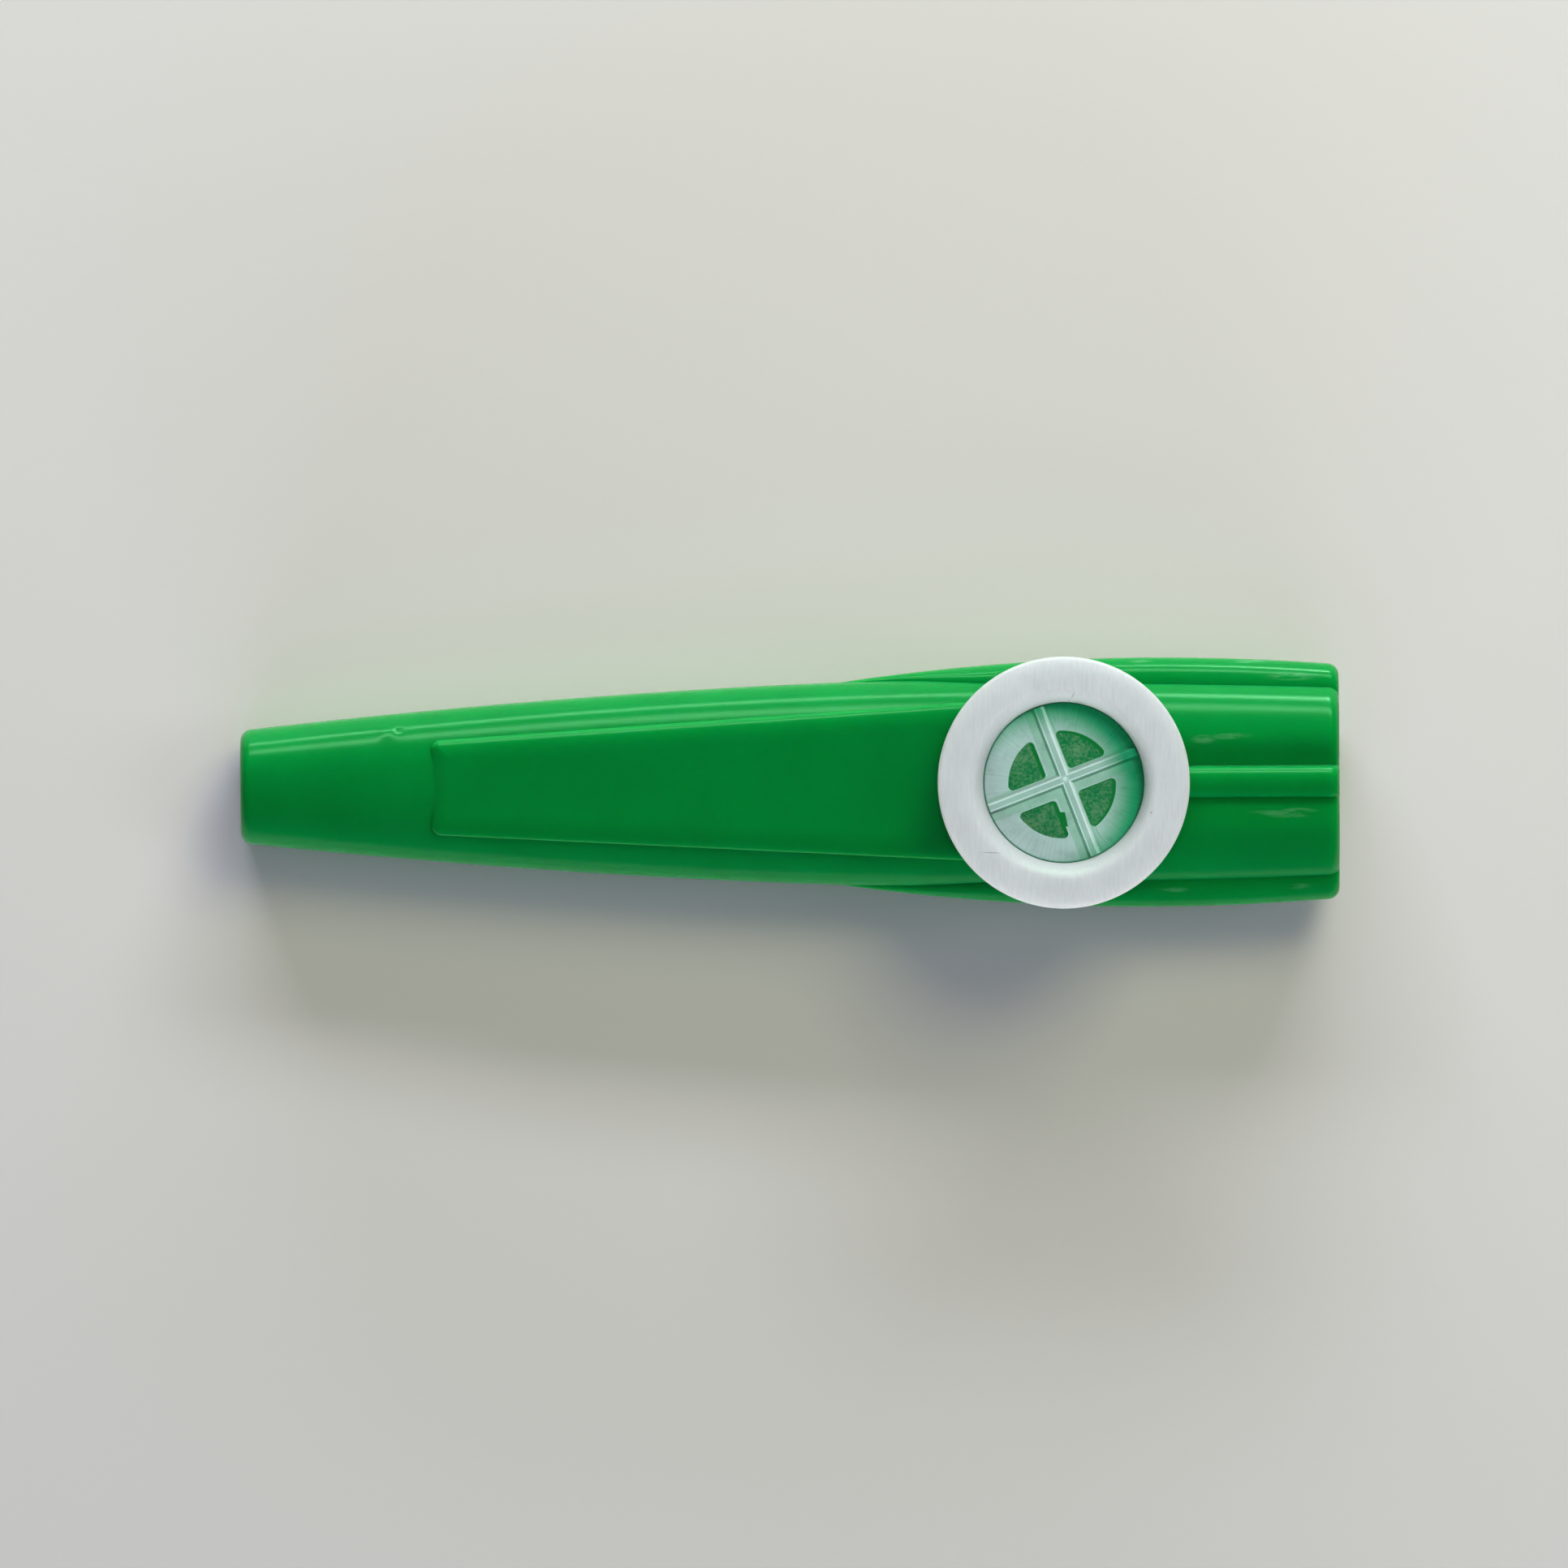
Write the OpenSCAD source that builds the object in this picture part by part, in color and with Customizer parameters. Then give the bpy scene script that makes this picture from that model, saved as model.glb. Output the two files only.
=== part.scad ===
// Plastic kazoo, in millimetres: a one-piece body with a round turret, a push-on
// turret cap, and the resonator under it, a moulded guard that carries a thin membrane.
// +X runs from the narrow end to the mouth end, +Z up through the turret.
// The origin is under the middle of the body, on the surface that it lies on.

/* [Body] */
// Length from the narrow end to the mouth end
body_l = 115; // [100:1:135]
// Width of the barrel at the narrow end
narrow_w = 11.8; // [10.5:0.1:14]
// Greatest width of the barrel
barrel_w = 21.9; // [20.5:0.1:23.5]
// How much narrower the barrel is at the mouth end
mouth_taper = 1.3; // [0:0.1:2.5]
// Distance from the narrow end to the widest place of the barrel
barrel_peak_x = 80; // [70:1:95]
// Height of the body at the narrow end
narrow_h = 10.8; // [9.5:0.1:13]
// Height of the barrel under the turret and at the mouth end
barrel_h = 13; // [12:0.1:17]
// Wall of the shell at its sides and its floor
wall = 1.5; // [1.2:0.05:1.9]
// Wall over the air channel, which the hollows beside the rib thin down
roof_wall = 1.9; // [1.6:0.05:2.4]
// Rounding of the edges at both ends
end_r = 1.1; // [0.5:0.05:1.15]
// Depth that the round underside loses to its flat
belly_cut = 0.5; // [0.3:0.05:0.9]

/* [Wings] */
// Distance from the narrow end to where the wings begin
wing_start_x = 62.8; // [55:0.2:70]
// Distance from the narrow end to the widest place of the wings
wing_peak_x = 95; // [88:0.5:104]
// How far the wings stay inside the edge of the cap at their widest place
wing_set_in = 0.1; // [0:0.05:0.8]
// How much narrower both wings are at the mouth end
wing_taper = 1.6; // [0:0.1:2.4]
// Thickness of a wing
wing_t = 4.6; // [3.2:0.1:6]
// Thickness that a wing starts with
wing_start_t = 0.8; // [0.4:0.1:1.6]
// Length over which a wing grows to its thickness
wing_ease_l = 18; // [8:1:30]

/* [Panel] */
// Distance from the narrow end to the raised panel
panel_start_x = 20; // [12:0.2:40]
// Distance from the side of the barrel to the panel's edge, at the panel's start
panel_start_margin = 2.95; // [2.2:0.05:4]
// Distance from the side of the barrel to the panel's edge, under the turret
panel_end_margin = 2.05; // [1.8:0.05:5]
// How far the panel's start is moulded off the middle of the barrel
panel_shift_y = -0.22; // [-0.4:0.01:0.4]
// How far the panel is moulded askew on the barrel, in degrees
panel_turn = 0.39; // [-0.5:0.01:0.5]
// Rise of the panel over the crown of the barrel
panel_rise = 0.35; // [0.2:0.05:0.8]
// Corner radius of the panel
panel_r = 1; // [0.4:0.1:2]
// Bevel round the top of the panel
panel_bevel = 0.3; // [0.1:0.05:0.3]

/* [Rib] */
// Width of the rib between the turret and the mouth end
rib_w = 3.3; // [2.4:0.1:4.5]
// Height of the rib over the hollow that it stands in
rib_h = 1.05; // [0.6:0.05:1.5]
// Depth of the hollow that the rib stands in
hollow_d = 0.9; // [0.5:0.05:1.1]
// Width of the hollow that the rib stands in
hollow_w = 10.4; // [8:0.1:13]

/* [Turret] */
// Distance from the narrow end to the axis of the turret
turret_x = 86.1; // [80:0.1:96]
// Outer diameter of the turret
boss_d = 22.6; // [20.5:0.1:24]
// Wall of the rim that stands round the resonator
rim_wall = 1.55; // [1.2:0.05:2]
// Height of the resonator's seat over the crown of the barrel
seat_rise = 3.3; // [2.4:0.1:6]
// Width of the ledge that the resonator lies on
ledge_w = 2.25; // [1.5:0.05:3]

/* [Cap] */
// Wall of the cap's skirt
cap_wall = 1.77; // [1.3:0.01:2.6]
// Diameter of the hole in the cap
cap_hole_d = 16.8; // [14:0.1:17.4]
// Diameter of the highest ring of the cap
crest_d = 20.2; // [19:0.1:22]
// Depth of the hole, from the crest down to the resonator
hole_depth = 2.9; // [2.3:0.1:4.5]
// Thickness of the cap's top at its crest
cap_top_t = 1.5; // [1:0.05:1.8]
// Fall of the top from its crest to its outer edge
crown_drop = 0.4; // [0.1:0.05:0.8]
// Radius of the cap's outer edge
cap_edge_r = 0.45; // [0.2:0.05:0.8]

/* [Resonator] */
// Thickness of the guard
guard_t = 1.2; // [0.8:0.05:2]
// Diameter of the circle that the four windows lie in
window_d = 11.2; // [8:0.1:13]
// Width of the webs between the windows
web_w = 2.5; // [1.6:0.1:3.4]
// Corner radius of a window
window_r = 0.45; // [0.2:0.05:0.7]
// Height of the cross bars on the guard
bar_h = 0.9; // [0.5:0.05:1.6]
// Width of a cross bar at its foot
bar_foot_w = 1.35; // [0.9:0.05:2]
// Width of a cross bar at its top
bar_top_w = 0.75; // [0.4:0.05:0.9]
// How far the windows are moulded off the middle of the guard, along the body
window_shift_x = -0.17; // [-0.3:0.01:0.3]
// How far the windows are moulded off the middle of the guard, across the body
window_shift_y = -0.2; // [-0.3:0.01:0.3]
// How far the bars are moulded off the middle of the guard, along the body
bar_shift_x = 0.14; // [-0.4:0.01:0.4]
// How far the bars are moulded off the middle of the guard, across the body
bar_shift_y = 0.37; // [-0.4:0.01:0.4]
// Turn of the resonator in its seat, in degrees
resonator_turn = 21; // [0:1:90]
// Thickness of the membrane
membrane_t = 0.12; // [0.05:0.01:0.3]

/* [Clearances] */
// Gap between the cap and the turret, all round
cap_fit = 0.08; // [0.03:0.01:0.1]
// Gap between the turret's rim and the resonator, all round
resonator_fit = 0.1; // [0.05:0.01:0.3]
// Gap between the cap's lip and the turret's rim, all round
lip_fit = 0.15; // [0.05:0.01:0.3]
// Gap between the cap's lip and the guard below it
lip_gap = 0.05; // [0.02:0.01:0.2]
// Gap between the cap's top and the rim below it
rim_gap = 0.3; // [0.1:0.05:0.6]
// Gap between the cap's lower edge and the panel below it
skirt_gap = 0.4; // [0.2:0.05:1]

/* [Hidden] */
$fn = 96;
cut_over = 1;

// Shapes of the body's section: 2 is an ellipse, more is squarer
narrow_arch_power = 2.2;
mouth_arch_power = 2.35;
belly_power = 2.5;
mid_share = 0.55;

// How the plan outlines of the barrel and of the wings curve
taper_power = 1.74;
flare_power = 1.9;

// Steps along the body and round a section
arch_steps = 12;
wing_steps = 5;
belly_steps = 8;
bore_steps = 40;
barrel_stations = 15;
wing_stations = 18;
end_steps = 4;
corner_steps = 8;
curve_steps = 10;

// Levels over the surface that the body lies on
seat_z = barrel_h + seat_rise;
guard_z = seat_z + membrane_t;
guard_top_z = guard_z + guard_t;
lip_z = guard_top_z + lip_gap;
crest_z = lip_z + hole_depth;
flange_z = crest_z - cap_top_t;
rim_z = flange_z - rim_gap;
skirt_z = barrel_h + panel_rise + skirt_gap;

// Radii about the turret's axis
boss_r = boss_d / 2;
seat_r = boss_r - rim_wall;
well_r = seat_r - ledge_w;
resonator_r = seat_r - resonator_fit;
lip_r = seat_r - lip_fit;
skirt_r = boss_r + cap_fit;
hole_r = cap_hole_d / 2;
crest_r = crest_d / 2;
cap_r = skirt_r + cap_wall;

// Widths that follow from others
mouth_w = barrel_w - mouth_taper;
wing_w = 2 * (cap_r - wing_set_in);
wing_mouth_w = wing_w - wing_taper;

function smooth(t) = let (c = min(max(t, 0), 1)) c * c * (3 - 2 * c);
function sign_pow(v, p) = sign(v) * pow(abs(v), p);

// Width of the barrel, seen from above
function barrel_w_at(x) =
    x < barrel_peak_x
        ? barrel_w - (barrel_w - narrow_w) * pow(1 - x / barrel_peak_x, taper_power)
        : barrel_w - (barrel_w - mouth_w) * pow((x - barrel_peak_x) / (body_l - barrel_peak_x), 2);

// Width over the wings, which is the barrel's width where they begin
function wing_w_at(x) =
    x < wing_start_x ? barrel_w_at(x)
    : x < wing_peak_x
        ? wing_w - (wing_w - barrel_w_at(wing_start_x))
            * pow((wing_peak_x - x) / (wing_peak_x - wing_start_x), flare_power)
        : wing_w - (wing_w - wing_mouth_w) * pow((x - wing_peak_x) / (body_l - wing_peak_x), 2);

function wing_growth(x) = smooth((x - wing_start_x) / wing_ease_l);
function top_at(x) = narrow_h + (barrel_h - narrow_h) * min(x / turret_x, 1);
function arch_power_at(x) = narrow_arch_power + (mouth_arch_power - narrow_arch_power)
    * min(max(x / body_l, 0), 1);
function hollow_at(x) = hollow_d * smooth((x - turret_x) / cap_r);

// Half of the outer section at x, pulled in by inset all round, from crown to belly
function half_section(x, inset) =
    let (
        mid = top_at(x) * mid_share,
        arch = arch_power_at(x),
        up = top_at(x) - mid - inset,
        down = mid + belly_cut - inset,
        w = barrel_w_at(x) / 2 - inset,
        reach = wing_w_at(x) / 2 - inset,
        grown = wing_growth(x),
        t = (wing_start_t + (wing_t - wing_start_t) * grown) / 2 - inset * grown / 2,
        up_a = asin(pow(t / up, arch / 2)),
        down_a = asin(pow(t / down, belly_power / 2)),
        up_w = w * pow(cos(up_a), 2 / arch),
        down_w = w * pow(cos(down_a), 2 / belly_power)
    )
    concat(
        [for (i = [0:arch_steps])
            let (
                a = 90 - (90 - up_a) * i / arch_steps,
                y = w * pow(max(cos(a), 0), 2 / arch),
                sunk = hollow_at(x) * pow(max(1 - pow(2 * y / hollow_w, 2), 0), 2)
            )
            [y, mid + up * pow(sin(a), 2 / arch) - sunk]],
        [for (i = [1:2 * wing_steps - 1])
            let (a = 90 * i / wing_steps, root = a < 90 ? up_w : down_w)
            [root + (reach - root) * sin(a), mid + t * cos(a)]],
        [for (i = [0:belly_steps])
            let (a = down_a + (90 - down_a) * i / belly_steps)
            [w * pow(max(cos(a), 0), 2 / belly_power), mid - down * pow(sin(a), 2 / belly_power)]]
    );

function whole_ring(x, half) = concat(
    [for (p = half) [x, p[0], p[1]]],
    [for (i = [len(half) - 2:-1:1]) [x, -half[i][0], half[i][1]]]
);

// Closed skin over rings of equal length, with its ends closed to their middles
module skin(rings) {
    n = len(rings[0]);
    last = len(rings) - 1;
    middles = [for (r = [rings[0], rings[last]])
        [r[0][0], 0, (r[0][2] + r[floor(n / 2)][2]) / 2]];
    points = concat([for (r = rings) each r], middles);
    walls = [for (k = [0:last - 1]) for (i = [0:n - 1])
        let (j = (i + 1) % n, a = k * n, b = a + n)
        each [[a + i, a + j, b + j], [a + i, b + j, b + i]]];
    first_end = [for (i = [0:n - 1]) [(last + 1) * n, (i + 1) % n, i]];
    last_end = [for (i = [0:n - 1]) [(last + 1) * n + 1, last * n + i, last * n + (i + 1) % n]];
    polyhedron(points, concat(walls, first_end, last_end));
}

// Places along the body, as [x, inset]: closer together where an end is rounded
stations = concat(
    [for (k = [0:end_steps]) let (a = 90 * k / end_steps)
        [end_r * (1 - cos(a)), end_r * (1 - sin(a))]],
    [for (k = [1:barrel_stations]) [end_r + (wing_start_x - end_r) * k / barrel_stations, 0]],
    [for (k = [1:wing_stations - 1])
        [wing_start_x + (body_l - end_r - wing_start_x) * k / wing_stations, 0]],
    [for (k = [end_steps:-1:0]) let (a = 90 * k / end_steps)
        [body_l - end_r * (1 - cos(a)), end_r * (1 - sin(a))]]
);

module barrel() {
    skin([for (s = stations) whole_ring(s[0], half_section(s[0], s[1]))]);
}

// Air channel, never wider inside than at the mouth, so that its core can be drawn
function bore_ring(x, at) =
    let (
        w = min(barrel_w_at(at), mouth_w) / 2 - wall,
        roof = top_at(at) - roof_wall,
        mid = (roof + wall) / 2,
        h = (roof - wall) / 2,
        arch = arch_power_at(at)
    )
    [for (i = [0:bore_steps - 1])
        let (a = 90 - 360 * i / bore_steps)
        [x, w * sign_pow(cos(a), 2 / arch), mid + h * sign_pow(sin(a), 2 / arch)]];

module air_channel() {
    skin(concat(
        [bore_ring(-cut_over, 0)],
        [for (k = [0:barrel_stations]) bore_ring(barrel_peak_x * k / barrel_stations,
            barrel_peak_x * k / barrel_stations)],
        [bore_ring(body_l + cut_over, body_l)]
    ));
}

// Plan outline of the panel, measured from its rounded start to the turret
function panel_outline(inset) =
    let (
        length = turret_x - panel_start_x,
        start_y = barrel_w_at(panel_start_x) / 2 - panel_start_margin,
        end_y = barrel_w_at(turret_x) / 2 - panel_end_margin,
        spread = (end_y - start_y) / length,
        y = start_y - panel_r,
        r = panel_r - inset,
        corner = [for (i = [0:corner_steps]) let (a = 180 - 90 * i / corner_steps)
            [panel_r + r * cos(a), y + r * sin(a) + (panel_r + r * cos(a)) * spread]],
        side = [[length, end_y - inset]],
        upper = concat(corner, side)
    )
    concat(upper, [for (i = [len(upper) - 1:-1:0]) [upper[i][0], -upper[i][1]]]);

module panel() {
    slope = atan((barrel_h - narrow_h) / turret_x);
    depth = narrow_h * mid_share;
    translate([0, 0, narrow_h])
        rotate([0, -slope, 0])
            translate([panel_start_x, panel_shift_y, 0])
                rotate([0, 0, panel_turn])
                    hull() {
                        translate([0, 0, -depth])
                            linear_extrude(depth + panel_rise - panel_bevel)
                                polygon(panel_outline(0));
                        linear_extrude(panel_rise)
                            polygon(panel_outline(panel_bevel));
                    }
}

// Rib on the barrel from the turret to the mouth: half an ellipse, seen from its end,
// and a rounded end, seen from its side
module rib() {
    foot_z = barrel_h - hollow_d;
    top_z = foot_z + rib_h;
    low_z = foot_z - (roof_wall - hollow_d) / 2;
    top_profile = concat(
        [[rib_w / 2, low_z]],
        [for (i = [0:2 * corner_steps]) let (a = 90 * i / corner_steps)
            [rib_w / 2 * cos(a), foot_z + rib_h * sin(a)]],
        [[-rib_w / 2, low_z]]
    );
    end_profile = concat(
        [[turret_x, low_z], [body_l - end_r / 2, low_z]],
        [for (i = [0:corner_steps]) let (a = 90 * i / corner_steps)
            [body_l - rib_h + rib_h * cos(a), top_z - rib_h + rib_h * sin(a)]],
        [[turret_x, top_z]]
    );
    intersection() {
        rotate([90, 0, 90])
            linear_extrude(body_l)
                polygon(top_profile);
        translate([0, rib_w, 0])
            rotate([90, 0, 0])
                linear_extrude(2 * rib_w)
                    polygon(end_profile);
    }
}

module turret() {
    low_z = barrel_h * mid_share;
    translate([turret_x, 0, low_z])
        cylinder(h = rim_z - low_z, r = boss_r);
}

module body() {
    color("green")
        translate([-body_l / 2, 0, 0])
            difference() {
                union() {
                    barrel();
                    panel();
                    rib();
                    turret();
                }
                air_channel();
                translate([turret_x, 0, barrel_h / 2])
                    cylinder(h = rim_z, r = well_r);
                translate([turret_x, 0, seat_z])
                    cylinder(h = rim_z, r = seat_r);
                translate([-cut_over, -wing_w, -barrel_h])
                    cube([body_l + 2 * cut_over, 2 * wing_w, barrel_h]);
            }
}

// Cap: outside wall, crowned top, and a lip that rolls down the hole to the guard
module turret_cap() {
    edge_x = cap_r - cap_edge_r;
    edge_z = crest_z - crown_drop - cap_edge_r;
    roll = [for (i = [0:curve_steps]) let (a = 90 * i / curve_steps)
        [crest_r - (crest_r - hole_r) * cos(a), lip_z + hole_depth * sin(a)]];
    crown = [for (i = [1:curve_steps - 1]) let (t = i / curve_steps)
        [crest_r + (edge_x - crest_r) * t, crest_z - crown_drop * t * t]];
    edge = [for (i = [0:corner_steps]) let (a = 90 - 90 * i / corner_steps)
        [edge_x + cap_edge_r * cos(a), edge_z + cap_edge_r * sin(a)]];
    inside = [[cap_r, skirt_z], [skirt_r, skirt_z], [skirt_r, flange_z], [lip_r, flange_z], [lip_r, lip_z]];
    color("white")
        translate([turret_x - body_l / 2, 0, 0])
            rotate_extrude()
                polygon(concat(roll, crown, edge, inside));
}

// One window: a quarter of the circle between two webs, with rounded corners
function window_outline() =
    let (
        big_r = window_d / 2,
        c = web_w / 2 + window_r,
        far = sqrt(pow(big_r - window_r, 2) - c * c),
        start_a = atan2(c, far)
    )
    concat(
        [for (i = [0:corner_steps]) let (a = -90 + (90 + start_a) * i / corner_steps)
            [far + window_r * cos(a), c + window_r * sin(a)]],
        [for (i = [1:2 * corner_steps - 1]) let (a = start_a + (90 - 2 * start_a) * i / (2 * corner_steps))
            [big_r * cos(a), big_r * sin(a)]],
        [for (i = [0:corner_steps]) let (a = 90 - start_a + (90 + start_a) * i / corner_steps)
            [c + window_r * cos(a), far + window_r * sin(a)]],
        [for (i = [0:corner_steps]) let (a = 180 + 90 * i / corner_steps)
            [c + window_r * cos(a), c + window_r * sin(a)]]
    );

// Cross bar along the line that it is turned to, wider at its foot
module cross_bar() {
    rotate([90, 0, 90])
        linear_extrude(cap_hole_d + bar_foot_w, center = true)
            polygon([[-bar_foot_w / 2, -guard_t / 2], [bar_foot_w / 2, -guard_t / 2],
                [bar_foot_w / 2, 0], [bar_top_w / 2, bar_h], [-bar_top_w / 2, bar_h],
                [-bar_foot_w / 2, 0]]);
}

module resonator_guard() {
    color("lightcyan")
        translate([turret_x - body_l / 2, 0, guard_z]) {
            difference() {
                cylinder(h = guard_t, r = resonator_r);
                translate([window_shift_x, window_shift_y, -cut_over])
                    for (k = [0:3])
                        rotate([0, 0, resonator_turn + 90 * k])
                            linear_extrude(guard_t + 2 * cut_over)
                                polygon(window_outline());
            }
            intersection() {
                translate([bar_shift_x, bar_shift_y, guard_t])
                    for (k = [0:1])
                        rotate([0, 0, resonator_turn + 90 * k])
                            cross_bar();
                translate([0, 0, guard_t / 2])
                    cylinder(h = guard_t + bar_h, r = hole_r - lip_fit);
            }
        }
}

module membrane() {
    color("darkseagreen")
        translate([turret_x - body_l / 2, 0, seat_z])
            cylinder(h = membrane_t, r = resonator_r);
}

body();
turret_cap();
resonator_guard();
membrane();
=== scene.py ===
"""Looks of the plastic kazoo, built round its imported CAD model.

A name that ends in _MM, and every size of the part, is in millimetres. Meshes are turned into metres when
they are made. Along the body, x is measured from the narrow end, as in the part's source.
"""
import math
import bmesh
import bpy
import numpy as np
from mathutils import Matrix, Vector


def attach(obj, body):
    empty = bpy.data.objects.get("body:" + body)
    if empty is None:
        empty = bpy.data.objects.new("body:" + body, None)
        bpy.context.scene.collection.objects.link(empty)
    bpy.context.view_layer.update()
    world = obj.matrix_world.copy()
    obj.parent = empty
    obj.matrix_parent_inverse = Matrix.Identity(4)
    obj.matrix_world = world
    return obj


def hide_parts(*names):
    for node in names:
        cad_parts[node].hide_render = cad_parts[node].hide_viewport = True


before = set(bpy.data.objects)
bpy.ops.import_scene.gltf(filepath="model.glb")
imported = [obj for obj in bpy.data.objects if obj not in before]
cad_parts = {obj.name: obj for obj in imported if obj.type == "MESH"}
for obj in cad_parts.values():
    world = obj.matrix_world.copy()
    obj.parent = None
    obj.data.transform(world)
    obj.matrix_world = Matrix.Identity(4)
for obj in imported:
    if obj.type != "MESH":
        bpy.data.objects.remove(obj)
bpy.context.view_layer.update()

MM = 0.001

# Body
BODY_L = 115.0
NARROW_W = 11.8
BARREL_W = 21.9
MOUTH_W = 20.6
BARREL_PEAK_X = 80.0
NARROW_H = 10.8
BARREL_H = 13.0
WALL = 1.5
ROOF_WALL = 1.9
END_R = 1.1
BELLY_CUT = 0.5
MID_SHARE = 0.55
NARROW_ARCH_POWER = 2.2
MOUTH_ARCH_POWER = 2.35
BELLY_POWER = 2.5
TAPER_POWER = 1.74
BORE_LIP_R = 0.35

# Wings
WING_START_X = 62.8
WING_PEAK_X = 95.0
WING_W = 26.1
WING_MOUTH_W = 24.5
WING_T = 4.6
WING_START_T = 0.8
WING_EASE_L = 18.0
FLARE_POWER = 1.9

# Panel
PANEL_START_X = 20.0
PANEL_START_MARGIN = 2.95
PANEL_END_MARGIN = 2.05
PANEL_SHIFT_Y = -0.22
PANEL_TURN = 0.39
PANEL_RISE = 0.35
PANEL_R = 1.0
PANEL_EDGE_W = 2.4
PANEL_EDGE_H = 0.9

# Rib and the hollow that it stands in
RIB_W = 3.3
RIB_H = 1.05
HOLLOW_D = 0.9
HOLLOW_W = 10.4
RIB_FILLET = 0.35
RIB_DRAFT = 6.0

# Turret
TURRET_X = 86.1
BOSS_R = 11.3
SEAT_R = 9.75
WELL_R = 7.5
SEAT_Z = 16.3
RIM_Z = 18.77
RIM_EDGE_R = 0.3

# Cap
CAP_R = 13.15
CAP_SKIRT_R = 11.38
CAP_HOLE_R = 8.4
CAP_CREST_R = 10.1
CAP_LIP_R = 9.6
CAP_LIP_Z = 17.67
CAP_FLANGE_Z = 19.07
CAP_CREST_Z = 20.57
CAP_SKIRT_Z = 13.75
CAP_DROP = 0.4
CAP_EDGE_R = 0.45
CAP_LOW_EDGE_R = 0.2

# Resonator
RESONATOR_R = 9.65
GUARD_Z = 16.42
GUARD_T = 1.2
GUARD_EDGE_R = 0.2
WINDOW_R = 5.6
WEB_W = 2.5
WINDOW_CORNER_R = 0.45
WINDOW_EDGE_R = 0.1
BAR_H = 0.9
BAR_FOOT_W = 1.35
BAR_TOP_W = 0.75
BAR_EDGE_R = 0.12
BAR_R = 8.25
WINDOW_SHIFT = (-0.17, -0.2)
BAR_SHIFT = (0.14, 0.37)
RESONATOR_TURN = 21.0
MEMBRANE_T = 0.12

# Painted shadow of the cap on the guard: beyond a circle, the guard's colour fades to a dark clear green. Given are
# the circle's middle in the guard's own turn, from the turret's axis, and the radii between which it fades
PAINTED_SHADOW_FROM = (-2.2, -0.44)
PAINTED_SHADOW_STEP = (5.8, 9.4)

# The light on the film lies as if the windows were shifted by the opposite of this
SHADE_SHIFT = (0.3, 0.16)

# Moulding faults of the guard, measured from the turret's axis: a nick in a window, and two drops of flash,
# as x, y, length, width, height and turn
NICK = ((-0.5, -3.05), (0.12, -3.1), (0.42, -4.6), (0.05, -4.6))
FLASH = ((3.65, -5.2, 1.5, 0.3, 0.14, -66.0), (0.14, 0.37, 0.75, 0.7, 1.0, 21.0))

# The photograph's frame: pixels of its 1932 by 1932 frame, and millimetres on the object for one of them
PHOTO_SIDE = 1932
MM_PER_PIXEL = 0.08493
NARROW_END_PIXEL = 296
CAMERA_DISTANCE = 4.0
FOCUS_HEIGHT = 0.008
CAMERA_ROLL = -0.296

# Small marks, as pixel x and y of the middle, length and width in millimetres, and turn: pale streaks on the body
# that are partly dusty smears and partly painted reflections, and a scratch, a hair of two strokes, a speck and a
# stain on the cap
SMEARS_AND_REFLECTIONS = ((1515, 907, 5.5, 0.8, 2.0), (1482, 911, 3.0, 1.2, 0.0), (1578, 1003, 8.0, 0.9, -3.0),
          (1600, 999, 4.6, 0.8, 0.0), (1447, 1096, 3.6, 0.7, 0.0), (1600, 1092, 3.2, 0.7, 4.0),
          (1405, 815, 3.2, 0.4, 2.0), (1540, 815, 4.4, 0.5, 0.0), (1590, 833, 6.5, 1.1, 0.0))
HAIRLINES = ((1221, 1050.5, 2.6, 0.13, -2.0), (1321, 857, 1.0, 0.13, 62.0), (1317, 864, 0.8, 0.12, -45.0),
             (1417, 1001, 0.4, 0.2, 50.0))
STAINS = ((1363, 1112, 1.3, 0.5, 12.0), (1372, 1107, 0.8, 0.35, 40.0))

# Steps of the meshes
ARCH_STEPS = 72
WING_STEPS = 14
BELLY_STEPS = 26
BORE_STEPS = 96
END_STEPS = 7
LATHE_STEPS = 256

# A moulding blemish on the shoulder near the narrow end: a pit, and a low swell on its left
PIT_X, PIT_Y = 16.6, 5.75
PIT_R, PIT_D = 0.45, 0.07
SWELL_OFF, SWELL_R, SWELL_H = 1.1, 0.9, 0.1


def clamp(t):
    return min(max(t, 0.0), 1.0)


def smooth(t):
    c = clamp(t)
    return c * c * (3 - 2 * c)


def smooth_max(a, b, k):
    """The larger of a and b, with the crease between them rounded over a height of about k."""
    h = np.clip(0.5 + 0.5 * (b - a) / k, 0, 1)
    return a * (1 - h) + b * h + k * h * (1 - h)


def signed_power(v, p):
    return np.sign(v) * np.abs(v) ** p


def barrel_w_at(x):
    if x < BARREL_PEAK_X:
        return BARREL_W - (BARREL_W - NARROW_W) * (1 - x / BARREL_PEAK_X) ** TAPER_POWER
    return BARREL_W - (BARREL_W - MOUTH_W) * ((x - BARREL_PEAK_X) / (BODY_L - BARREL_PEAK_X)) ** 2


def wing_w_at(x):
    if x < WING_START_X:
        return barrel_w_at(x)
    if x < WING_PEAK_X:
        t = (WING_PEAK_X - x) / (WING_PEAK_X - WING_START_X)
        return WING_W - (WING_W - barrel_w_at(WING_START_X)) * t**FLARE_POWER
    t = (x - WING_PEAK_X) / (BODY_L - WING_PEAK_X)
    return WING_W - (WING_W - WING_MOUTH_W) * t**2


def top_at(x):
    return NARROW_H + (BARREL_H - NARROW_H) * min(x / TURRET_X, 1)


def arch_power_at(x):
    return NARROW_ARCH_POWER + (MOUTH_ARCH_POWER - NARROW_ARCH_POWER) * clamp(x / BODY_L)


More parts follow.
